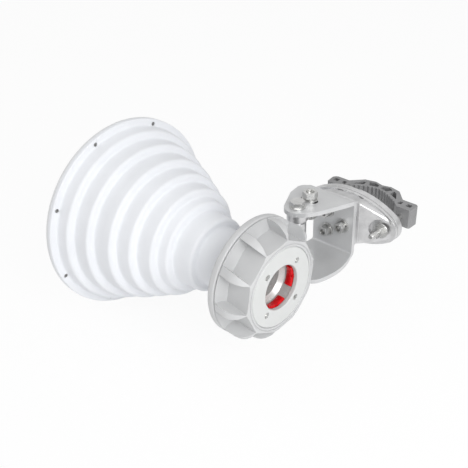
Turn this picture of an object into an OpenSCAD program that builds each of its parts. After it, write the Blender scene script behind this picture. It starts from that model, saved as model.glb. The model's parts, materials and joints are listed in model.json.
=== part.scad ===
// Horn antenna on an adjustable pole mount.
// +Z is up along the pole, the horn looks along -Y and its waveguide port faces +Y.
// The origin lies on the pole's axis, level with the horn's axis.

/* [Horn] */
// Distance from the pole's axis to the horn's axis
horn_x = 170; // [168:0.5:174]
// Distance from the pole's axis to the port face
port_y = 30; // [28:0.5:31]
// Turn of the horn about its own axis
horn_roll = -2; // [-3:0.5:3]
// Radius of the flange round the aperture
aperture_r = 100.5; // [99:0.5:102]
// Thickness of that flange
flange_t = 4.2; // [3:0.1:5]
// Radius of the widest drum of the stepped horn
drum_r = 92.7; // [92.2:0.1:92.9]
// Drop in radius from each drum to the next
drum_drop = 9.1; // [9:0.05:9.2]
// Taper of a drum over its length
drum_draft = 0.9; // [0.4:0.1:1.2]
// Wall thickness of the horn
horn_wall = 2.5; // [2:0.1:3]
// Number of screws that hold the radome
rim_screw_count = 8; // [6:1:12]
// Depth of the radome's rim
radome_t = 3.2; // [2.6:0.1:4]
// Height of the radome's dome
radome_rise = 5; // [3:0.5:8]

/* [Port] */
// Radius of the waveguide port
port_r = 21.7; // [21:0.1:22]
// Radius of the waveguide throat behind the port
throat_r = 18.2; // [18:0.1:19]
// Radius of the face plate
plate_r = 39; // [38.5:0.1:39.2]
// Thickness of the face plate
plate_t = 4; // [3.5:0.1:4.5]
// Outer radius of the lip round the face plate
lip_r = 43.6; // [43.2:0.1:43.8]
// Radius of the collar that holds the horn's neck
collar_r = 57.5; // [57:0.1:58]
// Depth of the ribbed port housing
housing_depth = 29.3; // [29:0.1:30]
// Number of pockets round the housing
pocket_count = 10; // [10:1:10]
// Width of one pocket
pocket_w = 27; // [25:0.2:27.2]
// Lean of the pockets against the horn's axis
pocket_lean = 9; // [0:1:12]

/* [Bracket] */
// Thickness of the folded sheet
sheet_t = 4.4; // [4:0.1:4.6]
// Outer height of the bracket
bracket_h = 65.3; // [64:0.1:67]
// Pole side face of the bracket's web
web_x = 45; // [44.6:0.1:45]
// Outer radius of the upper bend
upper_bend_r = 6.5; // [5:0.5:8]
// Outer radius of the lower bend
lower_bend_r = 6.5; // [5:0.5:8]
// Distance from the pole's axis to the azimuth pivot
pivot_x = 94; // [93:0.5:95]
// Radius of the azimuth slot about the pivot
azimuth_slot_r = 19.5; // [19:0.5:20]
// Turn of the horn either way about the pivot
azimuth_swing = 15; // [10:1:15]
// Turn of the bracket either way about the tilt bolt
tilt_swing = 15; // [10:1:15]

/* [Pole clamp] */
// Half length of the casting's oval flange
oval_a = 55.8; // [55:0.2:57]
// Half height of the casting's oval flange
oval_b = 27.5; // [27:0.1:28.5]
// Distance of the clamp bolts from the pole's axis
clamp_bolt_y = 40.8; // [40:0.2:41.4]
// Height of the toothed jaw
jaw_h = 21; // [18:1:24]
// Half length of the toothed jaw
jaw_half = 52.2; // [51:0.2:54]
// Pitch of the jaw's teeth
tooth_pitch = 4.4; // [4:0.1:5]
// Depth of the jaw's teeth
tooth_depth = 1.8; // [1:0.1:2.2]

/* [Fasteners] */
// Shank radius of the pivot bolt and the azimuth bolt
bolt_r = 4; // [3.5:0.5:4]
// Shank radius of the tilt bolts
lock_r = 3; // [2.5:0.5:3]
// Shank radius of the clamp bolts
clamp_r = 3; // [2.5:0.5:3]

/* [Hidden] */
$fn = 96;

// Distance of each step of the horn from the port face, aperture end first
step_at = [205.3, 190.2, 171.6, 149.7, 131.2, 112, 100.5, 78.5];
last_drum = len(step_at) - 1;
neck_end = 33;
flange_at = step_at[0];
neck_r = drum_at(last_drum);
step_round = 3.4;
step_fillet = 2.2;
rim_screw_r = 95.6;
rim_hole_r = 2.1;

sleeve_r = 25;
sleeve_bore = port_r + 0.6;
shoulder_at = 15;
sleeve_end = 40;
plate_screw_pcr = 27.9;
plate_screw_r = 2;
plate_head_r = 2.9;
tab_near = 5;
tab_far = 13.6;
tab_arc = 57;
tab_r = port_r - 1.4;
tab_root_r = sleeve_r - 0.2;
pocket_floor = 43.8;
pocket_depth = 24.5;
pocket_rim_r = 51;
pocket_rim_at = 27.4;
pocket_phase = 9;
collar_back = 29.3;
collar_front = 36.5;
seal_r = 38;
seal_wire = 1.5;

bracket_top = bracket_h / 2;
under_top = bracket_top - sheet_t;
web_in = web_x + sheet_t;
web_near = 20;
web_far = -29;
pivot_y = -15;
tilt_y = 7.5;
tilt_z = 0.6;
tilt_pair_y = -11;
tilt_pair_z = 11;
tilt_slot_r = norm([tilt_pair_y - tilt_y, tilt_pair_z]);
tilt_slot_mid = atan2(tilt_pair_z, tilt_pair_y - tilt_y);
slot_clear = 0.5;
azimuth_slot_w = 4.4;
azimuth_x = pivot_x - azimuth_slot_r;
run_clear = 0.05;
face_gap = 0.2;

hub_r = 10.3;
hub_neck_r = 9;
hub_top = under_top - face_gap;
hub_step = 20;
arm_flange_r = 43;
arm_flange_t = 6;
arm_screw_pcr = 37;
arm_screw_r = 2.5;
lug_t = 9;

casting_face = web_x - face_gap;
boss_t = 5;
boss_low = -24;
boss_high = 28;
flange_front = 27.6;
flange_back = 17;
spot_x = 31.5;
spot_r = 11.5;
band_t = 3.2;
band_groove = 0.7;
pole_r = 18;

washer_t = 1.6;
pivot_washer_r = 7.8;
pivot_nut_h = 6.5;
pivot_af = 13;
pivot_head_h = 5.3;
lock_washer_r = 7.5;
clamp_washer_r = 8.2;
jaw_washer_r = 7;
azimuth_nut_h = 5.8;
azimuth_spring_r = 6.6;
nut_recess = 2.5;
spring_t = 1.6;
spring_r = 5.6;
nut_h = 5;
nut_af = 10;
head_h = 4;
jaw_foot_x = -18.2;
jaw_z = 0.5;
clamp_tail_x = 49.5;

// Radius of drum i at its aperture end
function drum_at(i) = drum_r - drum_drop * i;

// Points of an arc about c, from angle a to angle b in n spans
function arc(c, r, a, b, n = 4) = [
    for (i = [0:n]) c + r * [cos(a + (b - a) * i / n), sin(a + (b - a) * i / n)]
];

// Places things along the horn's axis, with local +Z out of the port and 0 at the port face
module along_horn() {
    translate([horn_x, port_y, 0]) rotate([-90, 0, 0]) rotate(horn_roll) children();
}

// Places things along the pole mount's cross axis, with local +Z towards the horn and X as the row's Y
module across_pole(x = 0) {
    translate([x, 0, 0]) rotate([90, 0, 90]) children();
}

// Copies things at n equal turns, the first at angle a
module ring_of(n, a = 0) {
    for (i = [0:n - 1]) rotate(a + 360 * i / n) children();
}

// A ring of outer radius r and bore b, standing on z = 0
module washer(r, b, t) {
    difference() {
        cylinder(r = r, h = t);
        translate([0, 0, -1]) cylinder(r = b, h = t + 2);
    }
}

// A split ring
module spring_washer(r, b, t) {
    difference() {
        washer(r, b, t);
        translate([0, -0.6, -1]) cube([r + 1, 1.2, t + 2]);
    }
}

// A hexagon across flats af and height h with its far corners turned away
module hexagon(af, h) {
    intersection() {
        cylinder(r = af / sqrt(3), h = h, $fn = 6);
        cylinder(r1 = af / sqrt(3) + h * 0.6, r2 = af / 2 - 0.1, h = h + 0.9);
    }
}

// A nut with its bore
module nut(af, h, b) {
    difference() {
        hexagon(af, h);
        translate([0, 0, -1]) cylinder(r = b, h = h + 2);
    }
}

// A hexagon bolt: the head stands on z = 0 and the shank runs down to -l
module hex_bolt(r, l, af, h) {
    union() {
        hexagon(af, h);
        translate([0, 0, -l + 0.8]) cylinder(r = r, h = l - 0.8);
        translate([0, 0, -l]) cylinder(r1 = r - 0.8, r2 = r, h = 0.8);
    }
}

// A socket head screw: the head's top is on z = 0 and the shank runs down to -l
module socket_screw(r, head, h, l) {
    difference() {
        union() {
            translate([0, 0, -h]) cylinder(r = head, h = h);
            translate([0, 0, -l]) cylinder(r = r, h = l - h + 0.01);
        }
        translate([0, 0, -h * 0.6]) cylinder(r = head * 0.55, h = h, $fn = 6);
    }
}

// A slot that follows an arc of radius r about the origin from angle a to b, half width w
module arc_slot(r, w, a, b, h) {
    linear_extrude(height = h) polygon(concat(
        arc([0, 0], r + w, a, b, 12),
        arc(r * [cos(b), sin(b)], w, b + 15, b + 165, 10),
        arc([0, 0], r - w, b, a, 12),
        arc(r * [cos(a), sin(a)], w, a + 195, a + 345, 10)
    ));
}

// ---- Horn ----

// Half section of the horn shell, radius against distance along the axis
function horn_outside() = concat(
    [[neck_r, -neck_end]],
    [for (i = [last_drum - 1:-1:0]) each concat(
        arc([drum_at(i + 1) + step_fillet, step_fillet - step_at[i + 1]], step_fillet, 180, 270, 3),
        arc([drum_at(i) - drum_draft - step_round, -step_round - step_at[i + 1]], step_round, 90, 0, 5)
    )],
    arc([drum_at(0) + step_fillet, step_fillet - flange_at], step_fillet, 180, 270, 3),
    arc([aperture_r - 1.2, -1.2 - flange_at], 1.2, 90, 0, 3),
    [[aperture_r, -flange_at - flange_t]]
);

function horn_inside() = concat(
    [[drum_at(0) - horn_wall, -flange_at - flange_t]],
    [for (i = [0:last_drum - 1]) each [
        [drum_at(i) - horn_wall, -step_at[i + 1] - horn_wall],
        [i == last_drum - 1 ? throat_r + 3 : drum_at(i + 1) - horn_wall, -step_at[i + 1] - horn_wall]
    ]],
    [[throat_r, -sleeve_end - 14], [throat_r, -sleeve_end], [sleeve_r, -sleeve_end], [sleeve_r, -neck_end]]
);

module horn_shell() {
    color("white") along_horn() difference() {
        rotate_extrude() polygon(concat(horn_outside(), horn_inside()));
        ring_of(rim_screw_count, 180 / rim_screw_count)
            translate([rim_screw_r, 0, -flange_at - flange_t - 1]) cylinder(r = rim_hole_r, h = flange_t + 2);
    }
}

// The closed disc over the aperture, with a lip that centres it in the horn
module radome() {
    rim_at = flange_at + flange_t;
    dome = (aperture_r * aperture_r + radome_rise * radome_rise) / (2 * radome_rise);
    dome_half = asin((aperture_r - 4) / dome);
    lip = drum_at(0) - horn_wall - 0.3;
    color("white") along_horn() difference() {
        union() {
            rotate_extrude() polygon(concat(
                [[0, -rim_at], [aperture_r, -rim_at]],
                arc([aperture_r - 1.4, -rim_at - radome_t + 1.4], 1.4, 0, -90, 3),
                arc([0, -rim_at - radome_t - radome_rise + dome], dome, dome_half - 90, -90, 10)
            ));
            translate([0, 0, -rim_at]) washer(lip, lip - 3, 3);
        }
        ring_of(rim_screw_count, 180 / rim_screw_count)
            translate([rim_screw_r, 0, -rim_at - radome_t + 0.8]) cylinder(r = 1.5, h = radome_t);
    }
}

module rim_screws() {
    grip = flange_t + radome_t - 1.3;
    color("dimgray") along_horn() ring_of(rim_screw_count, 180 / rim_screw_count)
        translate([rim_screw_r, 0, -flange_at - 0.5]) socket_screw(1.5, rim_hole_r, 2, grip);
}

// ---- Port ----

// The collar that carries the horn's neck and closes the housing's front
module horn_collar() {
    color("gainsboro") along_horn() difference() {
        rotate_extrude() polygon(concat(
            [[sleeve_r, -collar_back], [collar_r - 1.8, -collar_back]],
            arc([collar_r - 1.6, -collar_back - 1.6], 1.6, 90, 0, 3),
            arc([collar_r - 2, -collar_front + 2], 2, 0, -90, 3),
            [[neck_r, -collar_front], [neck_r, -neck_end], [sleeve_r, -neck_end]]
        ));
        seal_groove();
        ring_of(4, 45) translate([arm_screw_pcr, 0, -collar_front - 1]) cylinder(r = arm_screw_r, h = 6);
    }
}

module seal_groove() {
    translate([0, 0, -collar_back]) rotate_extrude() translate([seal_r, 0]) circle(r = seal_wire, $fn = 24);
}

module housing_seal() {
    color("black") along_horn() seal_groove();
}

// One pocket of the housing on the local +X side: leaning side walls, a flat floor and a sloped end
module pocket() {
    reach = pocket_rim_r + 20;
    intersection() {
        rotate([90, 0, 0]) linear_extrude(height = 2 * pocket_w, center = true) polygon([
            [pocket_floor, 9],
            [pocket_floor, -pocket_depth],
            [pocket_rim_r, -pocket_rim_at],
            [reach, -pocket_rim_at],
            [reach, 9]
        ]);
        rotate([-pocket_lean, 0, 0]) translate([0, -pocket_w / 2, -2 * housing_depth])
            cube([reach, pocket_w, 4 * housing_depth]);
    }
}

// The ribbed housing of the port, one casting
module port_housing() {
    crest = 18;
    color("lightgray") along_horn() difference() {
        rotate_extrude() polygon(concat(
            [[sleeve_r, -housing_depth], [collar_r - 1.8, -housing_depth]],
            [[collar_r - 0.3, -pocket_rim_at + 0.2]],
            arc([collar_r - crest, -crest], crest, 0, 62, 7),
            [[lip_r + 1.9, -0.8], [lip_r + 1.2, -0.3], [lip_r, -0.2], [lip_r - 0.5, 0]],
            [[lip_r - 1.6, 0], [lip_r - 1.8, -0.7], [lip_r - 2.3, -0.7], [lip_r - 2.5, 0]],
            [[plate_r + 0.5, 0], [plate_r + 0.1, -0.4], [plate_r + 0.1, -plate_t], [sleeve_r, -plate_t]]
        ));
        ring_of(pocket_count, pocket_phase + 180 / pocket_count) pocket();
        seal_groove();
        ring_of(4, 45) translate([plate_screw_pcr, 0, -plate_t - 8]) cylinder(r = plate_screw_r, h = 9);
    }
}

module face_plate() {
    color("whitesmoke") along_horn() difference() {
        rotate_extrude() polygon([
            [port_r, -plate_t], [plate_r, -plate_t], [plate_r, -0.9], [plate_r - 0.9, 0],
            [port_r + 0.7, 0], [port_r, -0.5]
        ]);
        ring_of(4, 45) translate([plate_screw_pcr, 0, -plate_t - 1]) {
            cylinder(r = plate_screw_r, h = plate_t + 2);
            translate([0, 0, plate_t - 1.6]) cylinder(r = plate_head_r, h = 4);
        }
    }
}

module plate_screws() {
    color("silver") along_horn() ring_of(4, 45)
        translate([plate_screw_pcr, 0, -0.9]) socket_screw(plate_screw_r, plate_head_r - 0.1, 1.7, 9);
}

// The waveguide sleeve, with a sloped shoulder and four windows for the latch tabs
module port_sleeve() {
    slope = sleeve_bore - throat_r;
    color("silver") along_horn() difference() {
        rotate_extrude() polygon([
            [sleeve_bore, -plate_t], [sleeve_r, -plate_t], [sleeve_r, -sleeve_end], [throat_r, -sleeve_end],
            [throat_r, -shoulder_at - slope], [sleeve_bore, -shoulder_at]
        ]);
        ring_of(4, -tab_arc / 2 - 0.3) translate([0, 0, -tab_far - 0.1])
            rotate_extrude(angle = tab_arc + 0.6) translate([sleeve_bore - 1, 0])
                square([4, tab_far - tab_near + 0.2]);
    }
}

// The latch tabs, each a ridged pad that stands into the bore, with a nib at its middle
module latch_tabs() {
    pad_h = tab_far - tab_near;
    color("red") along_horn() ring_of(4, -tab_arc / 2) translate([0, 0, -tab_far]) union() {
        rotate_extrude(angle = tab_arc) polygon([
            [tab_root_r, 0], [tab_root_r, pad_h], [tab_r + 1.6, pad_h], [tab_r + 0.3, pad_h - 1.2],
            [tab_r, 5], [tab_r + 0.5, 2.4], [tab_r + 2, 0]
        ]);
        rotate(tab_arc / 2 - 3.5) rotate_extrude(angle = 7) translate([tab_r + 0.2, 2.6])
            square([2, pad_h - 2.2]);
    }
}

// ---- Azimuth pivot ----

// The arm: a flange on the collar, a tapered arm, the pivot hub and the lug of the azimuth bolt
module pivot_arm() {
    front = -collar_front;
    root_x = horn_x - neck_r - 8;
    hub_h = 2 * hub_top;
    color("silver") difference() {
        union() {
            along_horn() translate([0, 0, front - arm_flange_t]) cylinder(r = arm_flange_r, h = arm_flange_t);
            translate([0, port_y + front - arm_flange_t + 1, 0]) rotate([90, 0, 0]) linear_extrude(height = 15)
                polygon([[root_x, -22], [pivot_x, -13], [pivot_x, 11], [root_x, 18]]);
            translate([pivot_x, pivot_y, -hub_top]) rotate_extrude() polygon([
                [0, 0], [hub_r, 0], [hub_r, 6], [hub_neck_r, 7], [hub_neck_r, hub_top + hub_step - 2.5],
                [hub_neck_r - 1, hub_top + hub_step - 2], [hub_neck_r - 1, hub_top + hub_step],
                [hub_r, hub_top + hub_step], [hub_r, hub_h - 0.6], [hub_r - 0.6, hub_h], [0, hub_h]
            ]);
            translate([azimuth_x, pivot_y, hub_top - lug_t]) cylinder(r = 7.5, h = lug_t);
            translate([azimuth_x, pivot_y - 7.5, hub_top - lug_t]) cube([azimuth_slot_r, 15, lug_t]);
        }
        translate([pivot_x, pivot_y, -hub_top - 1]) cylinder(r = bolt_r + run_clear, h = hub_h + 2);
        translate([azimuth_x, pivot_y, hub_top - lug_t - 1]) cylinder(r = bolt_r, h = lug_t + 2);
        along_horn() translate([0, 0, front - 40]) cylinder(r = neck_r, h = 41);
        along_horn() ring_of(4, 45) translate([arm_screw_pcr, 0, front - arm_flange_t - 1])
            cylinder(r = arm_screw_r, h = arm_flange_t + 2);
    }
}

module arm_screws() {
    head = 4;
    color("silver") along_horn() ring_of(4, 45)
        translate([arm_screw_pcr, 0, -collar_front - arm_flange_t - head])
            mirror([0, 0, 1]) socket_screw(arm_screw_r, 4.3, head, 14);
}

module pivot_bolt() {
    grip = bracket_h + 2 * washer_t + pivot_nut_h + 2.5;
    color("silver") translate([pivot_x, pivot_y, bracket_top + washer_t])
        rotate(12) hex_bolt(bolt_r, grip, pivot_af, pivot_head_h);
}

module pivot_washers() {
    color("silver") translate([pivot_x, pivot_y, 0]) {
        translate([0, 0, bracket_top]) washer(pivot_washer_r, bolt_r, washer_t);
        translate([0, 0, -bracket_top - washer_t]) washer(pivot_washer_r, bolt_r, washer_t);
    }
}

module pivot_nut() {
    color("silver") translate([pivot_x, pivot_y, -bracket_top - washer_t]) mirror([0, 0, 1])
        nut(pivot_af, pivot_nut_h, bolt_r);
}

// The bolt that clamps the arm in the bracket's slot, its head below the lug
module azimuth_bolt() {
    grip = bracket_top - hub_top + lug_t + run_clear + washer_t + spring_t + azimuth_nut_h - nut_recess;
    color("silver") translate([azimuth_x, pivot_y, hub_top - lug_t])
        mirror([0, 0, 1]) hex_bolt(bolt_r, grip, pivot_af, pivot_head_h);
}

module azimuth_washer() {
    color("silver") translate([azimuth_x, pivot_y, bracket_top + run_clear])
        washer(pivot_washer_r, bolt_r, washer_t);
}

module azimuth_spring_washer() {
    color("silver") translate([azimuth_x, pivot_y, bracket_top + run_clear + washer_t])
        rotate(200) spring_washer(azimuth_spring_r, bolt_r, spring_t);
}

module azimuth_nut() {
    color("silver") translate([azimuth_x, pivot_y, bracket_top + run_clear + washer_t + spring_t])
        rotate(10) nut(pivot_af, azimuth_nut_h, bolt_r);
}

// ---- Bracket ----

// Side view of the folded sheet, X against Z
module fold_profile() {
    far_x = pivot_x + 30;
    upper_in = upper_bend_r - sheet_t;
    lower_in = lower_bend_r - sheet_t;
    polygon(concat(
        [[far_x, bracket_top]],
        arc([web_x + upper_bend_r, bracket_top - upper_bend_r], upper_bend_r, 90, 180, 6),
        arc([web_x + lower_bend_r, lower_bend_r - bracket_top], lower_bend_r, 180, 270, 8),
        [[far_x, -bracket_top], [far_x, sheet_t - bracket_top]],
        arc([web_x + lower_bend_r, lower_bend_r - bracket_top], lower_in, 270, 180, 8),
        arc([web_x + upper_bend_r, bracket_top - upper_bend_r], upper_in, 180, 90, 6),
        [[far_x, bracket_top - sheet_t]]
    ));
}

// Plan of the upper flange, a leaf shape round the pivot
module upper_plan() {
    polygon(concat(
        [[web_x - 1, web_far], [web_x + 2, web_far - 4]],
        arc([web_x + 16, web_far - 2.5], 10, 205, 268, 6),
        [[pivot_x - 19.5, web_far - 10.4]],
        arc([pivot_x - 1, pivot_y - 0.5], 13.2, -62, 48, 12),
        arc([pivot_x - 31.7, pivot_y - 33.3], 60, 52, 68, 4),
        [[web_x + 12, web_near - 1.8], [web_x + 6, web_near], [web_x - 1, web_near]]
    ));
}

// Plan of the lower flange: a long bow at the near edge, a swell at the far one and rounded corners
module lower_plan() {
    end_x = pivot_x + 19.5;
    far_r = 17;
    near_r = 13;
    bow_r = 75;
    bow = [pivot_x - 13, web_near + 6.6 - bow_r];
    turn = acos((end_x - near_r - bow[0]) / (bow_r - near_r));
    polygon(concat(
        [[web_x - 1, web_far], [web_x + 13, web_far], [web_x + 17, web_far - 3]],
        arc([web_x + 30, web_far - 1], 11, 225, 270, 4),
        arc([end_x - far_r, web_far - 12 + far_r], far_r, 270, 360, 8),
        arc(bow + (bow_r - near_r) * [cos(turn), sin(turn)], near_r, 0, turn, 6),
        arc(bow, bow_r, turn + 3, 114, 12),
        [[web_x - 1, web_near]]
    ));
}

// The folded sheet: web, upper flange with pivot hole and arc slot, lower flange
module c_bracket() {
    lower_end = lower_bend_r - bracket_top;
    color("darkgray") difference() {
        intersection() {
            translate([0, 60, 0]) rotate([90, 0, 0]) linear_extrude(height = 120) fold_profile();
            union() {
                translate([0, 0, bracket_top - upper_bend_r]) linear_extrude(height = upper_bend_r + 1)
                    upper_plan();
                translate([web_x - 1, web_far, lower_end - 1])
                    cube([sheet_t + 2, web_near - web_far, bracket_h - lower_bend_r]);
                translate([0, 0, -bracket_top - 1]) linear_extrude(height = lower_bend_r + 1) lower_plan();
            }
        }
        translate([pivot_x, pivot_y, -bracket_top - 1]) cylinder(r = bolt_r, h = bracket_h + 2);
        translate([pivot_x, pivot_y, under_top - 1])
            arc_slot(azimuth_slot_r, azimuth_slot_w, 180 - azimuth_swing, 180 + azimuth_swing, sheet_t + 2);
        across_pole(web_x - 1) for (p = tilt_places()) translate(p) cylinder(r = lock_r, h = sheet_t + 2);
    }
}

// ---- Tilt joint ----

// Places of the tilt bolt and its two slot bolts, across_pole's X and Y
function tilt_places() = [
    for (p = [[tilt_y, 0], [tilt_pair_y, tilt_pair_z], [tilt_pair_y, -tilt_pair_z]]) p + [0, tilt_z]
];

// Copies things at the three tilt bolts, x from the pole's axis, each turned by its own angle
module at_tilt_bolts(x) {
    across_pole(x) for (p = tilt_places()) translate(p) rotate(17 + 3 * p[1]) children();
}

module tilt_bolts() {
    grip = sheet_t + face_gap + boss_t + washer_t + spring_t + nut_h - nut_recess;
    color("silver") at_tilt_bolts(casting_face - boss_t) mirror([0, 0, 1])
        hex_bolt(lock_r, grip, nut_af, head_h);
}

module tilt_washers() {
    color("silver") at_tilt_bolts(web_in) washer(lock_washer_r, lock_r, washer_t);
}

module tilt_spring_washers() {
    color("silver") at_tilt_bolts(web_in + washer_t) spring_washer(spring_r, lock_r, spring_t);
}

module tilt_nuts() {
    color("silver") at_tilt_bolts(web_in + washer_t + spring_t) nut(nut_af, nut_h, lock_r);
}

// ---- Pole clamp ----

// A four-centre oval of half axes a and b whose ends have radius e, standing on z = 0
module oval(a, b, e, h) {
    side = (pow(a - e, 2) + b * b - e * e) / (2 * (b - e));
    turn = acos((a - e) / (side - e));
    linear_extrude(height = h) polygon(concat(
        arc([a - e, 0], e, -turn, turn, 16),
        arc([0, b - side], side, turn + 5, 175 - turn, 12),
        arc([e - a, 0], e, 180 - turn, 180 + turn, 16),
        arc([0, side - b], side, turn + 185, 355 - turn, 12)
    ));
}

// Outline of the boss plate, flush with the bracket's web; dy and dz shrink it
module boss_outline(dy = 0, dz = 0) {
    far = web_far + 4 + dy;
    near = web_near - 0.3 - dy;
    low = boss_low + dz;
    high = boss_high - dz;
    polygon(concat(
        arc([near - 3, high - 3], 3, 0, 90, 4),
        arc([far + 7, high - 7], 7, 90, 180, 6),
        arc([far + 7, low + 7], 7, 180, 270, 6),
        arc([near - 7, low + 7], 7, 270, 360, 6)
    ));
}

// A body that swells from the boss plate to the oval flange
module casting_swell() {
    hull() {
        translate([0, 0, flange_front - 2]) oval(oval_a - 2.4, oval_b - 1.4, 14, 0.4);
        translate([0, 0, casting_face - boss_t + 0.4]) linear_extrude(height = 0.4) boss_outline(1.6, 0.5);
    }
}

// The hollow of the casting, open towards the pole
module casting_hollow() {
    hull() {
        translate([0, 0, flange_back - 1]) linear_extrude(height = 1) boss_outline(2.8, 2);
        translate([0, 0, casting_face - boss_t - 0.4]) linear_extrude(height = 0.4) boss_outline(3.6, 2.4);
    }
}

// The saddle: a boss plate behind the bracket's web, a hollow body and a double-banded oval flange
module pole_casting() {
    boss_back = casting_face - boss_t;
    front_band = flange_front - band_t;
    groove_x = front_band - band_groove;
    color("lightgray") difference() {
        across_pole() union() {
            translate([0, 0, front_band]) oval(oval_a, oval_b, 16, band_t);
            translate([0, 0, groove_x - 1]) oval(oval_a - 0.8, oval_b - 0.8, 15.2, band_groove + 2);
            translate([0, 0, flange_back]) oval(oval_a, oval_b, 16, groove_x - flange_back);
            casting_swell();
            translate([0, 0, boss_back]) linear_extrude(height = boss_t) boss_outline();
        }
        across_pole() casting_hollow();
        translate([0, 0, -oval_b - 1]) cylinder(r = pole_r + 0.1, h = 2 * oval_b + 2);
        across_pole() for (s = [-1, 1]) translate([s * clamp_bolt_y, 0, 0]) {
            translate([0, 0, flange_back - 1]) cylinder(r = clamp_r + 0.3, h = 30);
            translate([0, 0, spot_x]) cylinder(r = spot_r, h = 20);
        }
        across_pole() translate([tilt_y, tilt_z, boss_back - 1]) {
            cylinder(r = lock_r + run_clear, h = boss_t + 2);
            for (mid = [tilt_slot_mid, -tilt_slot_mid])
                arc_slot(tilt_slot_r, lock_r + slot_clear, mid - tilt_swing, mid + tilt_swing, boss_t + 2);
        }
    }
}

module clamp_washers() {
    color("silver") across_pole(spot_x) for (s = [-1, 1]) translate([s * clamp_bolt_y, 0, 0])
        washer(clamp_washer_r, clamp_r + run_clear, washer_t);
}

module clamp_nuts() {
    color("silver") across_pole(spot_x + washer_t) for (s = [-1, 1]) translate([s * clamp_bolt_y, 0, 0])
        nut(nut_af, nut_h, clamp_r + run_clear);
}

module clamp_bolts() {
    color("silver") for (s = [-1, 1]) translate([-clamp_head(), s * clamp_bolt_y, 0])
        rotate([0, -90, 0]) hex_bolt(clamp_r, clamp_tail_x + clamp_head(), nut_af, head_h);
}

module jaw_washers() {
    color("silver") for (s = [-1, 1]) translate([-clamp_head(), s * clamp_bolt_y, 0])
        rotate([0, 90, 0]) washer(jaw_washer_r, clamp_r, washer_t);
}

// Distance of the clamp bolts' heads behind the pole's axis
function clamp_head() = washer_t - jaw_foot_x;

// One point of the jaw's inner edge, distance behind the pole's axis at y
function jaw_inner(y) = abs(y) > 36 ? 2.8 : 21 - 18.2 * pow(abs(y) / 36, 1.6);

// Outline of the jaw, X against Y, with teeth along the inner edge
function jaw_teeth() = [
    for (i = [-7:7]) each [[-jaw_inner((i - 0.5) * tooth_pitch) - tooth_depth, (i - 0.5) * tooth_pitch],
        [-jaw_inner(i * tooth_pitch), i * tooth_pitch]]
];

module jaw_outline() {
    polygon(concat(
        [[-2.8, -jaw_half + 1.5], [-2.8, -36]],
        jaw_teeth(),
        [[-2.8, 36], [-2.8, jaw_half - 1.5], [-4.3, jaw_half]],
        [[jaw_foot_x + 2, jaw_half], [jaw_foot_x, jaw_half - 2], [jaw_foot_x, 33.5]],
        [[-31, 21.5], [-34, 9.5], [-31.4, 0], [-34, -9.5], [-31, -21.5], [jaw_foot_x, -33.5]],
        arc([jaw_foot_x + 6, -jaw_half + 6], 6, 180, 262, 5)
    ));
}

// The pockets of one half of the jaw, seen from above
module jaw_pockets() {
    polygon([[-8.6, 42.4], [-8.6, 48], [-13.8, 48], [-13.8, 42.4]]);
    polygon([[-8.2, 32.2], [-9, 37], [-14, 37], [-14, 33.4]]);
    polygon([[-14.6, 27.6], [-25.8, 21], [-27.6, 17.2], [-20.4, 16.6]]);
    polygon([[-22.6, 10.6], [-25, 2], [-29, 2.2], [-31.4, 9], [-28.8, 14.6]]);
}

module toothed_jaw() {
    wall = 3;
    depth = (jaw_h - wall) / 2;
    color("gray") difference() {
        translate([0, 0, jaw_z - jaw_h / 2]) linear_extrude(height = jaw_h) jaw_outline();
        for (z = [wall / 2, -jaw_h / 2 - 1], s = [0, 1])
            translate([0, 0, jaw_z + z]) mirror([0, s, 0]) linear_extrude(height = depth + 1) jaw_pockets();
        for (s = [-1, 1]) translate([jaw_foot_x - 1, s * clamp_bolt_y, 0]) rotate([0, 90, 0])
            cylinder(r = clamp_r, h = 20);
    }
}

pole_casting();
clamp_washers();
clamp_nuts();
toothed_jaw();
clamp_bolts();
jaw_washers();
c_bracket();
tilt_bolts();
tilt_washers();
tilt_spring_washers();
tilt_nuts();
pivot_bolt();
pivot_washers();
pivot_nut();
pivot_arm();
arm_screws();
azimuth_bolt();
azimuth_washer();
azimuth_spring_washer();
azimuth_nut();
horn_collar();
horn_shell();
radome();
rim_screws();
port_housing();
housing_seal();
face_plate();
plate_screws();
port_sleeve();
latch_tabs();
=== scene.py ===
"""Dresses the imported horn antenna: finishes, threads and the studio it stands in."""

import json
import math

import bmesh
import bpy
from mathutils import Matrix, Vector


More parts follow.
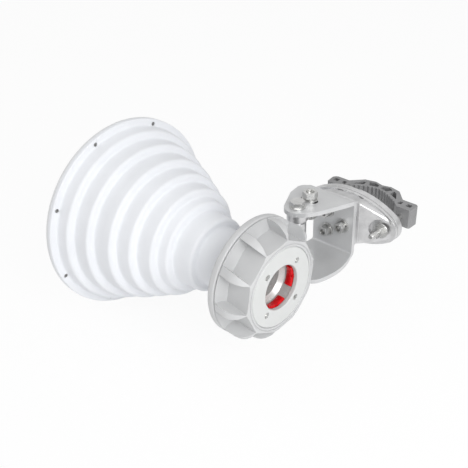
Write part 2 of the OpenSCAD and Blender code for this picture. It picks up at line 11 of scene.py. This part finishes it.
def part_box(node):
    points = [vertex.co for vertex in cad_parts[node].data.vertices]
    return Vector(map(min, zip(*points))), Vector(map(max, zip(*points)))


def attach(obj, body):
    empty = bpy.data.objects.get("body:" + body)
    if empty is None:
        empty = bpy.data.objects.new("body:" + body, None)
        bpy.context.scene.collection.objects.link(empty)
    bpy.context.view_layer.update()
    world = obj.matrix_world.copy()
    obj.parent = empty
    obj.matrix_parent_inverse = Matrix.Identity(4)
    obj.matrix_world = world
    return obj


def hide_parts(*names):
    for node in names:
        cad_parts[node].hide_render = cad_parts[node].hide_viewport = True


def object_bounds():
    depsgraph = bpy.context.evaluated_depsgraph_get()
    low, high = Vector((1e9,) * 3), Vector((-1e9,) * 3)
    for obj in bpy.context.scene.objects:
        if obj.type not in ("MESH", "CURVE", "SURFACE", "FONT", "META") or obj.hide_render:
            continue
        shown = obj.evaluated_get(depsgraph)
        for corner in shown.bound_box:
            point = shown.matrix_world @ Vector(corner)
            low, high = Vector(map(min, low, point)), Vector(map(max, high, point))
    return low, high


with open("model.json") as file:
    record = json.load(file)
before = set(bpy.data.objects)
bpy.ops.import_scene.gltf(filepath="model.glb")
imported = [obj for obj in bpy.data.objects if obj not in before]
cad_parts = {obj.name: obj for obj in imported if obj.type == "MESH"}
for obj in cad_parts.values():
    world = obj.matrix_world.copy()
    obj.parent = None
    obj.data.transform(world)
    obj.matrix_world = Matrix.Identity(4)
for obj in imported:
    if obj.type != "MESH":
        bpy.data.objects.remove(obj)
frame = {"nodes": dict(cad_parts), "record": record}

bl_info = {
    "name": "Horn Antenna Dressing",
    "version": (1, 0, 0),
    "blender": (4, 5, 0),
    "location": "View3D > Sidebar > Horn Antenna",
    "description": "Finishes, small parts and studio for a horn antenna on its pole clamp",
    "category": "Object",
}

MM = 0.001
MERGE_DISTANCE = 0.002 * MM
SLIVER_LENGTH = 0.001 * MM
CREASE = 32.0
COAT_PATCH = 28 * MM
TARNISH_PATCH = 9 * MM
BEVEL_SAMPLES = 6
RING_SIDES = 32
RIDGE_SIDES = 4
CLAMP_BOLT_R = 3.0 * MM
PIVOT_BOLT_R = 4.0 * MM
CAD_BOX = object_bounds()
SLOT_OF = {part["node"]: part["material_slot"] for part in frame["record"]["subparts"]}
BODY_OF = {
    node: body
    for body, members in frame["record"]["behaviour"]["bodies"].items()
    for node in members
}
CAMERA_PLACE = (0.5809, 0.3726, 0.3839)
CAMERA_LOOK = (-0.6114, -0.5945, -0.5221)
CAMERA_ROLL = math.radians(-1.84)
PORT = next(Vector(m["pos_m"]) for m in frame["record"]["mounts"] if m["name"] == "waveguide_port")
KEY_PLACE = (0.55, 0.92, 0.59)
TOP_PLACE = (0.3, -0.4, 1.2)
LAMP_TARGET = (PORT.x, -0.05, 0.0)
DOME_TOP = 0.7
HORIZON_LEVEL = 0.4


# ---- Settings ----


def tint(name, description, default):
    """A colour setting."""
    return bpy.props.FloatVectorProperty(
        name=name, description=description, default=default, subtype="COLOR", size=3, min=0.0, max=1.0
    )


def length(name, description, default):
    """A length setting, in metres."""
    return bpy.props.FloatProperty(
        name=name, description=description, default=default, min=0.0, unit="LENGTH", subtype="DISTANCE"
    )


class HornAntennaColours(bpy.types.PropertyGroup):
    """The colours a user would change."""

    horn: tint("Horn", "Powder coat of the horn", (0.80, 0.815, 0.845))
    radome: tint("Radome", "Moulded disc over the aperture", (0.78, 0.79, 0.80))
    housing: tint("Housing", "Coated castings round the port", (0.57, 0.575, 0.58))
    plate: tint("Face plate", "Plate round the port", (0.625, 0.635, 0.63))
    sleeve: tint("Sleeve", "Turned metal inside the port", (0.62, 0.62, 0.61))
    tabs: tint("Latch tabs", "Moulded red tabs", (0.68, 0.006, 0.010))
    bracket: tint("Bracket", "Coated folded sheet", (0.62, 0.625, 0.63))
    casting: tint("Casting", "Blasted cast aluminium", (0.66, 0.66, 0.665))
    jaw: tint("Jaw", "Grey toothed casting", (0.30, 0.30, 0.305))
    zinc: tint("Fasteners", "Plated bolts, nuts and washers", (0.62, 0.62, 0.61))
    rubber: tint("Seal", "Rubber of the ring seal", (0.02, 0.02, 0.021))


class HornAntennaSizes(bpy.types.PropertyGroup):
    """Sizes of the small forms that are added to the solids."""

    edge: length("Edge rounding", "Radius of the softened edges", 0.45 * MM)
    thread_pitch: length("Thread pitch", "Distance between the ridges of a thread", 1.0 * MM)
    thread_depth: length("Thread depth", "Height of a thread's ridge", 0.28 * MM)


class HornAntennaStudio(bpy.types.PropertyGroup):
    """Lamps, background and lens."""

    focal: bpy.props.FloatProperty(
        name="Focal length", description="Focal length of the camera", default=57.08, unit="CAMERA"
    )
    key: bpy.props.FloatProperty(
        name="Key lamp", description="Power of the large lamp", default=9.0, min=0.0, unit="POWER"
    )
    top: bpy.props.FloatProperty(
        name="Top lamp", description="Power of the lamp above the horn", default=1.6, min=0.0, unit="POWER"
    )
    sky: bpy.props.FloatProperty(
        name="Sky", description="Light of the room on matte surfaces", default=0.58, min=0.0, max=1.0
    )
    floor_gap: length("Floor gap", "Distance from the object's lowest point to the floor", 0.5 * MM)


# ---- Materials ----


class Finish:
    """A material under construction, with short ways to add and link its nodes."""

    def __init__(self, name):
        self.material = bpy.data.materials.new(name)
        self.material.use_nodes = True
        self.tree = self.material.node_tree
        self.tree.nodes.clear()
        self.output = self.add("ShaderNodeOutputMaterial")
        self.shader = self.add("ShaderNodeBsdfPrincipled")
        self.join(self.shader, "BSDF", self.output, "Surface")
        self.coord = self.add("ShaderNodeTexCoord")

    def add(self, kind, **values):
        """A new node with its properties set."""
        node = self.tree.nodes.new(kind)
        for key, value in values.items():
            setattr(node, key, value)
        return node

    def join(self, a, out, b, into):
        """A link from one node's output to another's input."""
        self.tree.links.new(a.outputs[out], b.inputs[into])

    def noise(self, size, stretch=(1, 1, 1), detail=4.0, centre=(0, 0, 0)):
        """Noise whose blobs are about size metres across, drawn out along stretch."""
        place = self.add("ShaderNodeMapping")
        place.inputs["Location"].default_value = [-c * s for c, s in zip(centre, stretch)]
        place.inputs["Scale"].default_value = stretch
        self.join(self.coord, "Object", place, "Vector")
        noise = self.add("ShaderNodeTexNoise")
        noise.inputs["Scale"].default_value = 1 / size
        noise.inputs["Detail"].default_value = detail
        self.join(place, "Vector", noise, "Vector")
        return noise

    def spread(self, source, out, low, high, middle=0.5, reach=0.2):
        """A value between low and high that follows a source round its middle."""
        spread = self.add("ShaderNodeMapRange")
        spread.inputs["From Min"].default_value = middle - reach
        spread.inputs["From Max"].default_value = middle + reach
        spread.inputs["To Min"].default_value = low
        spread.inputs["To Max"].default_value = high
        self.join(source, out, spread, "Value")
        return spread

    def blend(self, factor, out, first, second):
        """A colour between two others, each a colour or a node's socket."""
        mix = self.add("ShaderNodeMix", data_type="RGBA")
        self.tree.links.new(factor.outputs[out], mix.inputs[0])
        for socket, value in ((mix.inputs[6], first), (mix.inputs[7], second)):
            if isinstance(value, bpy.types.NodeSocket):
                self.tree.links.new(value, socket)
            else:
                socket.default_value = (*value, 1.0)
        return mix.outputs[2]

    def highlit_edges(self, radius):
        """A factor that is 1 on sharp edges and 0 on open faces, used to paint a highlight along edges."""
        bevel = self.add("ShaderNodeBevel", samples=BEVEL_SAMPLES)
        bevel.inputs["Radius"].default_value = radius
        face = self.add("ShaderNodeNewGeometry")
        dot = self.add("ShaderNodeVectorMath", operation="DOT_PRODUCT")
        self.join(bevel, "Normal", dot, 0)
        self.join(face, "Normal", dot, 1)
        return self.spread(dot, "Value", 1.0, 0.0, middle=0.93, reach=0.06)

    def relief(self, source, out, depth, edge):
        """Bump of a depth in metres over softened edges."""
        bevel = self.add("ShaderNodeBevel", samples=BEVEL_SAMPLES)
        bevel.inputs["Radius"].default_value = edge
        bump = self.add("ShaderNodeBump")
        bump.inputs["Distance"].default_value = depth
        self.join(source, out, bump, "Height")
        self.join(bevel, "Normal", bump, "Normal")
        self.join(bump, "Normal", self.shader, "Normal")

    def constants(self, **values):
        """Values that are the same all over the surface."""
        for key, value in values.items():
            self.shader.inputs[key.replace("_", " ")].default_value = value


def shade(colour, factor):
    """A colour made lighter or darker."""
    return tuple(min(1.0, c * factor) for c in colour)


def coated(name, colour, roughness, grain, depth, edge, stain=0.04, edge_highlight=0.0):
    """A coated surface: faint patches, a fine pebbled skin and sharp edges painted lighter as a highlight."""
    finish = Finish(name)
    patches = finish.noise(COAT_PATCH)
    factor = finish.spread(patches, "Fac", 0.0, 1.0)
    tone = finish.blend(factor, "Result", shade(colour, 1 - stain), shade(colour, 1 + stain / 2))
    # Painted highlight: sharp edges are made lighter in the base colour.
    if edge_highlight:
        edges = finish.highlit_edges(1.2 * edge)
        light = finish.add("ShaderNodeMath", operation="MULTIPLY")
        light.inputs[1].default_value = edge_highlight
        finish.join(edges, "Result", light, 0)
        tone = finish.blend(light, "Value", tone, shade(colour, 1.25))
    finish.tree.links.new(tone, finish.shader.inputs["Base Color"])
    skin = finish.noise(grain, detail=2.0)
    rough = finish.spread(skin, "Fac", roughness - 0.06, roughness + 0.06)
    finish.join(rough, "Result", finish.shader, "Roughness")
    finish.relief(skin, "Fac", depth, edge)
    return finish


def metal(name, colour, roughness, grain, depth, edge, stretch=(1, 1, 1), stain=0.08, edge_highlight=0.3):
    """A bare metal surface: tarnish in patches, grain drawn out along the working, and sharp edges painted
    bright as a highlight.
    """
    finish = Finish(name)
    patches = finish.noise(TARNISH_PATCH, detail=6.0)
    factor = finish.spread(patches, "Fac", 0.0, 1.0)
    tone = finish.blend(factor, "Result", shade(colour, 1 - stain), shade(colour, 1 + stain))
    # Painted highlight: sharp edges are made lighter in the base colour.
    edges = finish.highlit_edges(1.5 * edge)
    light = finish.add("ShaderNodeMath", operation="MULTIPLY")
    light.inputs[1].default_value = edge_highlight
    finish.join(edges, "Result", light, 0)
    tone = finish.blend(light, "Value", tone, shade(colour, 1.35))
    finish.tree.links.new(tone, finish.shader.inputs["Base Color"])
    skin = finish.noise(grain, stretch=stretch, detail=3.0)
    rough = finish.spread(skin, "Fac", roughness - 0.08, roughness + 0.1)
    finish.join(rough, "Result", finish.shader, "Roughness")
    finish.relief(skin, "Fac", depth, edge)
    finish.constants(Metallic=1.0)
    return finish


def make_finishes(colours, edge):
    """Every finish of the antenna, by the record's slot names."""
    # The edge amounts given below set how far sharp edges are painted lighter, a painted highlight.
    finishes = {
        "horn_paint": coated("horn_paint", colours.horn, 0.52, 0.9 * MM, 0.02 * MM, edge, stain=0.025),
        "radome_plastic": coated("radome_plastic", colours.radome, 0.48, 0.6 * MM, 0.02 * MM, edge),
        "port_aluminium": coated(
            "port_aluminium", colours.housing, 0.40, 0.5 * MM, 0.03 * MM, 1.4 * edge, stain=0.05, edge_highlight=0.35
        ),
        "bracket_steel": coated(
            "bracket_steel", colours.bracket, 0.36, 0.4 * MM, 0.02 * MM, edge, stain=0.07, edge_highlight=0.5
        ),
        "tab_plastic": coated("tab_plastic", colours.tabs, 0.2, 1.5 * MM, 0.01 * MM, edge / 2, stain=0.1),
        "seal_rubber": coated("seal_rubber", colours.rubber, 0.7, 0.4 * MM, 0.02 * MM, edge / 2, stain=0.1),
        "cast_aluminium": metal(
            "cast_aluminium", colours.casting, 0.33, 0.55 * MM, 0.05 * MM, 1.5 * edge, stain=0.1
        ),
        "cast_iron": coated("cast_iron", colours.jaw, 0.5, 0.7 * MM, 0.08 * MM, edge, stain=0.15, edge_highlight=0.5),
        "plate_aluminium": coated("plate_aluminium", colours.plate, 0.34, 0.5 * MM, 0.01 * MM, edge, stain=0.03),
        "sleeve_aluminium": coated("sleeve_aluminium", colours.sleeve, 0.28, 0.5 * MM, 0.02 * MM, edge / 2),
        "zinc": metal("zinc", colours.zinc, 0.30, 0.5 * MM, 0.015 * MM, edge / 1.5, stain=0.12, edge_highlight=0.4),
        "spring_steel": metal(
            "spring_steel", shade(colours.zinc, 0.7), 0.34, 0.4 * MM, 0.015 * MM, edge / 2, stain=0.15
        ),
        "dark_screw": metal("dark_screw", shade(colours.zinc, 0.55), 0.36, 0.4 * MM, 0.02 * MM, edge / 2),
    }
    finishes["tab_plastic"].constants(Specular_IOR_Level=0.2)
    finishes["bracket_steel"].constants(Metallic=0.3)
    finishes["cast_iron"].constants(Metallic=0.3)
    finishes["sleeve_aluminium"].constants(Metallic=0.3)
    finishes["horn_paint"].constants(Specular_IOR_Level=0.4)
    return {slot: finish.material for slot, finish in finishes.items()}


def finish_of(slot):
    """The material of a slot, made with all the others the first time one is asked for."""
    if slot not in bpy.data.materials or not bpy.data.materials[slot].get("horn_antenna"):
        scene = bpy.context.scene
        for name, material in make_finishes(scene.horn_colours, scene.horn_sizes.edge).items():
            for old in [m for m in bpy.data.materials if m.name == name and m != material]:
                old.name = name + "_plain"
            material.name = name
            material["horn_antenna"] = True
    return bpy.data.materials[slot]


# ---- Pieces ----


def smooth_copy(node, crease=CREASE):
    """A merged copy of a solid, shaded smooth between its creases, that stands for it."""
    mesh = frame["nodes"][node].data.copy()
    mesh.name = node + "_skin"
    work = bmesh.new()
    work.from_mesh(mesh)
    bmesh.ops.remove_doubles(work, verts=work.verts, dist=MERGE_DISTANCE)
    bmesh.ops.dissolve_degenerate(work, edges=work.edges, dist=SLIVER_LENGTH)
    for face in work.faces:
        face.smooth = True
    limit = math.radians(crease)
    for edge in work.edges:
        edge.smooth = len(edge.link_faces) == 2 and edge.calc_face_angle(0.0) < limit
    work.to_mesh(mesh)
    work.free()
    if "custom_normal" in mesh.attributes:
        mesh.attributes.remove(mesh.attributes["custom_normal"])
    mesh.materials.clear()
    mesh.materials.append(finish_of(SLOT_OF[node]))
    piece = bpy.data.objects.new(node + "_skin", mesh)
    bpy.context.scene.collection.objects.link(piece)
    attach(piece, BODY_OF[node])
    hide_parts(node)
    return piece


def dress(nodes, crease=CREASE):
    """Smooth copies of several solids."""
    missing = [node for node in nodes if node not in frame["nodes"]]
    if missing:
        raise RuntimeError(f"the frame has no node named {missing}")
    return [smooth_copy(node, crease) for node in nodes]


def islands(node):
    """The lowest and highest corner of each separate solid in a node, sorted."""
    work = bmesh.new()
    work.from_mesh(frame["nodes"][node].data)
    bmesh.ops.remove_doubles(work, verts=work.verts, dist=MERGE_DISTANCE)
    left = set(work.verts)
    boxes = []
    while left:
        edge_of_island = [left.pop()]
        found = list(edge_of_island)
        while edge_of_island:
            vert = edge_of_island.pop()
            for edge in vert.link_edges:
                other = edge.other_vert(vert)
                if other in left:
                    left.remove(other)
                    edge_of_island.append(other)
                    found.append(other)
        low = Vector([min(v.co[i] for v in found) for i in range(3)])
        high = Vector([max(v.co[i] for v in found) for i in range(3)])
        boxes.append((low, high))
    work.free()
    return sorted(boxes, key=lambda box: tuple(round(c, 5) for c in box[0]))


# ---- Geometry Nodes ----


def ridge_tree(material):
    """Ridged rings in a row at each point of a mesh, along the point's own axis."""
    tree = bpy.data.node_groups.new("thread_ridges", "GeometryNodeTree")
    tree.interface.new_socket("Geometry", in_out="INPUT", socket_type="NodeSocketGeometry")
    for name, kind in (
        ("Count", "NodeSocketInt"),
        ("Pitch", "NodeSocketFloat"),
        ("Radius", "NodeSocketFloat"),
        ("Depth", "NodeSocketFloat"),
    ):
        tree.interface.new_socket(name, in_out="INPUT", socket_type=kind)
    tree.interface.new_socket("Geometry", in_out="OUTPUT", socket_type="NodeSocketGeometry")
    add = tree.nodes.new
    join = tree.links.new
    given = add("NodeGroupInput")
    made = add("NodeGroupOutput")

    rise = add("ShaderNodeCombineXYZ")
    join(given.outputs["Pitch"], rise.inputs["Z"])
    row = add("GeometryNodeMeshLine")
    join(given.outputs["Count"], row.inputs["Count"])
    join(rise.outputs[0], row.inputs["Offset"])

    hoop = add("GeometryNodeCurvePrimitiveCircle")
    hoop.inputs["Resolution"].default_value = RING_SIDES
    join(given.outputs["Radius"], hoop.inputs["Radius"])
    section = add("GeometryNodeCurvePrimitiveCircle")
    section.inputs["Resolution"].default_value = RIDGE_SIDES
    join(given.outputs["Depth"], section.inputs["Radius"])
    ring = add("GeometryNodeCurveToMesh")
    join(hoop.outputs["Curve"], ring.inputs["Curve"])
    join(section.outputs["Curve"], ring.inputs["Profile Curve"])

    stack = add("GeometryNodeInstanceOnPoints")
    join(row.outputs["Mesh"], stack.inputs["Points"])
    join(ring.outputs["Mesh"], stack.inputs["Instance"])

    axis = add("GeometryNodeInputNamedAttribute")
    axis.data_type = "FLOAT_VECTOR"
    axis.inputs["Name"].default_value = "axis"
    turn = add("FunctionNodeAlignRotationToVector")
    turn.axis = "Z"
    join(axis.outputs["Attribute"], turn.inputs["Vector"])
    places = add("GeometryNodeInstanceOnPoints")
    join(given.outputs["Geometry"], places.inputs["Points"])
    join(stack.outputs["Instances"], places.inputs["Instance"])
    join(turn.outputs["Rotation"], places.inputs["Rotation"])

    real = add("GeometryNodeRealizeInstances")
    join(places.outputs["Instances"], real.inputs["Geometry"])
    paint = add("GeometryNodeSetMaterial")
    paint.inputs["Material"].default_value = material
    join(real.outputs["Geometry"], paint.inputs["Geometry"])
    join(paint.outputs["Geometry"], made.inputs["Geometry"])
    return tree


def grow(name, points, axes, tree, body, slot, **inputs):
    """Runs a node tree on a set of points with axes and keeps its result as a plain mesh."""
    seed = bpy.data.meshes.new(name + "_points")
    seed.from_pydata(points, [], [])
    along = seed.attributes.new("axis", "FLOAT_VECTOR", "POINT")
    for item, axis in zip(along.data, axes):
        item.vector = axis
    carrier = bpy.data.objects.new(name + "_points", seed)
    bpy.context.scene.collection.objects.link(carrier)
    modifier = carrier.modifiers.new("grow", "NODES")
    modifier.node_group = tree
    sockets = {item.name: item.identifier for item in tree.interface.items_tree if item.in_out == "INPUT"}
    for key, value in inputs.items():
        modifier[sockets[key.replace("_", " ")]] = value
    bpy.context.view_layer.update()
    evaluated = carrier.evaluated_get(bpy.context.evaluated_depsgraph_get())
    mesh = bpy.data.meshes.new_from_object(evaluated)
    mesh.name = name
    bpy.data.objects.remove(carrier)
    if not mesh.polygons:
        raise RuntimeError(f"the node tree made nothing for {name}")
    piece = bpy.data.objects.new(name, mesh)
    bpy.context.scene.collection.objects.link(piece)
    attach(piece, body)
    return piece


# ---- Operators ----


class DressOperator:
    """What the operators that dress solids share."""

    bl_options = {"REGISTER", "UNDO"}
    nodes = ()
    crease = CREASE

    def execute(self, context):
        dress(self.nodes, self.crease)
        return {"FINISHED"}


class HORN_OT_shell(DressOperator, bpy.types.Operator):
    """Dresses the stepped horn, its radome and the screws of the rim"""

    bl_idname = "horn_antenna.shell"
    bl_label = "Stepped Horn"
    nodes = ("horn_shell", "radome", "rim_screws")
    crease = 40.0


class HORN_OT_port(DressOperator, bpy.types.Operator):
    """Dresses the collar, the ribbed housing, its seal, the face plate and the sleeve"""

    bl_idname = "horn_antenna.port"
    bl_label = "Waveguide Port"
    nodes = ("horn_collar", "port_housing", "housing_seal", "face_plate", "plate_screws", "port_sleeve")


class HORN_OT_tabs(DressOperator, bpy.types.Operator):
    """Dresses the red latch tabs"""

    bl_idname = "horn_antenna.tabs"
    bl_label = "Latch Tabs"
    nodes = ("latch_tabs",)


class HORN_OT_bracket(DressOperator, bpy.types.Operator):
    """Dresses the folded bracket and the arm that it holds"""

    bl_idname = "horn_antenna.bracket"
    bl_label = "Bracket and Arm"
    nodes = ("c_bracket", "pivot_arm")


class HORN_OT_clamp(DressOperator, bpy.types.Operator):
    """Dresses the pole casting and its toothed jaw"""

    bl_idname = "horn_antenna.clamp"
    bl_label = "Pole Clamp"
    nodes = ("pole_casting", "toothed_jaw")


class HORN_OT_fasteners(DressOperator, bpy.types.Operator):
    """Dresses the bolts, nuts, washers and screws of the mount"""

    bl_idname = "horn_antenna.fasteners"
    bl_label = "Fasteners"
    nodes = tuple(
        node
        for node in SLOT_OF
        if node.endswith(("bolts", "bolt", "nuts", "nut", "washers", "washer")) or node == "arm_screws"
    )


class HORN_OT_threads(bpy.types.Operator):
    """Adds the ridges of the threads that stand out of the nuts"""

    bl_idname = "horn_antenna.threads"
    bl_label = "Threads"
    bl_options = {"REGISTER", "UNDO"}

    def execute(self, context):
        sizes = context.scene.horn_sizes
        tree = ridge_tree(finish_of("zinc"))
        pitch = sizes.thread_pitch
        depth = sizes.thread_depth

        def cut(name, nuts, bolt, along, side, shank, body):
            """Ridges from the outer face of each nut to the end of its bolt."""
            axis = "xyz".index(along)
            start = nuts[0][side][axis] + (2 * side - 1) * pitch
            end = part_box(bolt)[side][axis]
            points = [(low + high) / 2 for low, high in nuts]
            for point in points:
                point[axis] = start
            away = Vector((0, 0, 0))
            away[axis] = 2 * side - 1
            grow(
                name, points, [away] * len(points), tree, body, "zinc",
                Count=max(1, int(abs(end - start) / pitch)), Pitch=pitch, Radius=shank - depth / 2, Depth=depth,
            )

        cut("clamp_threads", islands("clamp_nuts"), "clamp_bolts", "x", 1, CLAMP_BOLT_R, "jaw")
        cut("pivot_threads", islands("pivot_nut"), "pivot_bolt", "z", 0, PIVOT_BOLT_R, "bracket")
        return {"FINISHED"}


def surface_material(name, colour, share):
    """A matte surface that the lens and glossy metal see as nearly white."""
    finish = Finish(name)
    grain = finish.noise(120 * MM, detail=2.0)
    factor = finish.spread(grain, "Fac", 0.0, 1.0)
    tone = finish.blend(factor, "Result", shade(colour, 0.99), colour)
    finish.tree.links.new(tone, finish.shader.inputs["Base Color"])
    finish.constants(Roughness=0.9, Specular_IOR_Level=0.1)
    glow = finish.add("ShaderNodeEmission")
    path = finish.add("ShaderNodeLightPath")
    seen = finish.add("ShaderNodeMath", operation="MAXIMUM")
    finish.join(path, "Is Camera Ray", seen, 0)
    finish.join(path, "Is Glossy Ray", seen, 1)
    part = finish.add("ShaderNodeMath", operation="MULTIPLY")
    part.inputs[1].default_value = share
    finish.join(seen, "Value", part, 0)
    mix = finish.add("ShaderNodeMixShader")
    finish.join(part, "Value", mix, "Fac")
    finish.join(finish.shader, "BSDF", mix, 1)
    finish.join(glow, "Emission", mix, 2)
    finish.join(mix, "Shader", finish.output, "Surface")
    return finish.material


def studio_floor(gap):
    """A wide pale floor below the object."""
    half = 6.0
    height = CAD_BOX[0][2] - gap
    mesh = bpy.data.meshes.new("studio_floor")
    corners = [(-half, -half, height), (half, -half, height), (half, half, height), (-half, half, height)]
    mesh.from_pydata(corners, [], [(0, 1, 2, 3)])
    mesh.materials.append(surface_material("floor_white", colour=(0.95, 0.95, 0.95), share=0.92))
    floor = bpy.data.objects.new("studio_floor", mesh)
    bpy.context.scene.collection.objects.link(floor)


def studio_world(sky):
    """A white room, at full strength only for the lens and for reflections."""
    world = bpy.data.worlds.new("studio")
    world.use_nodes = True
    nodes = world.node_tree.nodes
    join = world.node_tree.links.new
    room = nodes["Background"]
    room.inputs["Color"].default_value = (1.0, 1.0, 1.0, 1.0)
    path = nodes.new("ShaderNodeLightPath")
    coord = nodes.new("ShaderNodeTexCoord")
    split = nodes.new("ShaderNodeSeparateXYZ")
    join(coord.outputs["Generated"], split.inputs["Vector"])
    dome = nodes.new("ShaderNodeMapRange")
    dome.inputs["From Max"].default_value = DOME_TOP
    dome.inputs["To Min"].default_value = HORIZON_LEVEL
    join(split.outputs["Z"], dome.inputs["Value"])
    reflected = nodes.new("ShaderNodeMix")
    reflected.inputs[2].default_value = sky
    join(path.outputs["Is Glossy Ray"], reflected.inputs[0])
    join(dome.outputs["Result"], reflected.inputs[3])
    level = nodes.new("ShaderNodeMix")
    level.inputs[3].default_value = 1.0
    join(path.outputs["Is Camera Ray"], level.inputs[0])
    join(reflected.outputs[0], level.inputs[2])
    join(level.outputs[0], room.inputs["Strength"])
    bpy.context.scene.world = world


def lamp(name, size, power, place, target):
    """A square soft lamp that looks at a target."""
    data = bpy.data.lights.new(name, "AREA")
    data.size = size
    data.energy = power
    light = bpy.data.objects.new(name, data)
    light.location = place
    light.rotation_euler = (Vector(target) - Vector(place)).to_track_quat("-Z", "Y").to_euler()
    bpy.context.scene.collection.objects.link(light)


def studio_camera(focal):
    """The camera, above and to the port's side of the antenna, looking down on it."""
    forward = Vector(CAMERA_LOOK).normalized()
    right = forward.cross(Vector((0, 0, 1))).normalized()
    up = right.cross(forward)
    side = right * math.cos(CAMERA_ROLL) + up * math.sin(CAMERA_ROLL)
    top = up * math.cos(CAMERA_ROLL) - right * math.sin(CAMERA_ROLL)
    data = bpy.data.cameras.new("studio_camera")
    data.lens = focal
    data.sensor_width = 36.0
    data.clip_start = 0.01
    camera = bpy.data.objects.new("studio_camera", data)
    turn = Matrix((side, top, -forward)).transposed().to_4x4()
    camera.matrix_world = Matrix.Translation(CAMERA_PLACE) @ turn
    bpy.context.scene.collection.objects.link(camera)
    bpy.context.scene.camera = camera


class HORN_OT_studio(bpy.types.Operator):
    """Sets up the floor, the room, the lamps and the camera"""

    bl_idname = "horn_antenna.studio"
    bl_label = "Studio"
    bl_options = {"REGISTER", "UNDO"}

    def execute(self, context):
        studio = context.scene.horn_studio
        context.scene.view_settings.view_transform = "Standard"
        studio_floor(studio.floor_gap)
        studio_world(studio.sky)
        lamp("key_lamp", 0.8, studio.key, KEY_PLACE, LAMP_TARGET)
        lamp("top_lamp", 1.0, studio.top, TOP_PLACE, LAMP_TARGET)
        studio_camera(studio.focal)
        return {"FINISHED"}


OPERATORS = (
    HORN_OT_shell,
    HORN_OT_port,
    HORN_OT_tabs,
    HORN_OT_bracket,
    HORN_OT_clamp,
    HORN_OT_fasteners,
    HORN_OT_threads,
    HORN_OT_studio,
)


class HORN_PT_dressing(bpy.types.Panel):
    """The antenna's settings and steps"""

    bl_idname = "HORN_PT_dressing"
    bl_label = "Horn Antenna"
    bl_space_type = "VIEW_3D"
    bl_region_type = "UI"
    bl_category = "Horn Antenna"

    def draw(self, context):
        layout = self.layout
        for settings in (context.scene.horn_colours, context.scene.horn_sizes, context.scene.horn_studio):
            box = layout.box()
            for name in settings.__annotations__:
                box.prop(settings, name)
        for operator in OPERATORS:
            layout.operator(operator.bl_idname)


GROUPS = {
    "horn_colours": HornAntennaColours,
    "horn_sizes": HornAntennaSizes,
    "horn_studio": HornAntennaStudio,
}


def register():
    for name, group in GROUPS.items():
        bpy.utils.register_class(group)
        setattr(bpy.types.Scene, name, bpy.props.PointerProperty(type=group))
    for operator in OPERATORS:
        bpy.utils.register_class(operator)
    bpy.utils.register_class(HORN_PT_dressing)


def unregister():
    bpy.utils.unregister_class(HORN_PT_dressing)
    for operator in reversed(OPERATORS):
        bpy.utils.unregister_class(operator)
    for name, group in reversed(GROUPS.items()):
        delattr(bpy.types.Scene, name)
        bpy.utils.unregister_class(group)


def main():
    """Registers the add-on and runs its steps in order."""
    register()
    for operator in OPERATORS:
        group, name = operator.bl_idname.split(".")
        getattr(getattr(bpy.ops, group), name)()


if __name__ == "__main__":
    main()
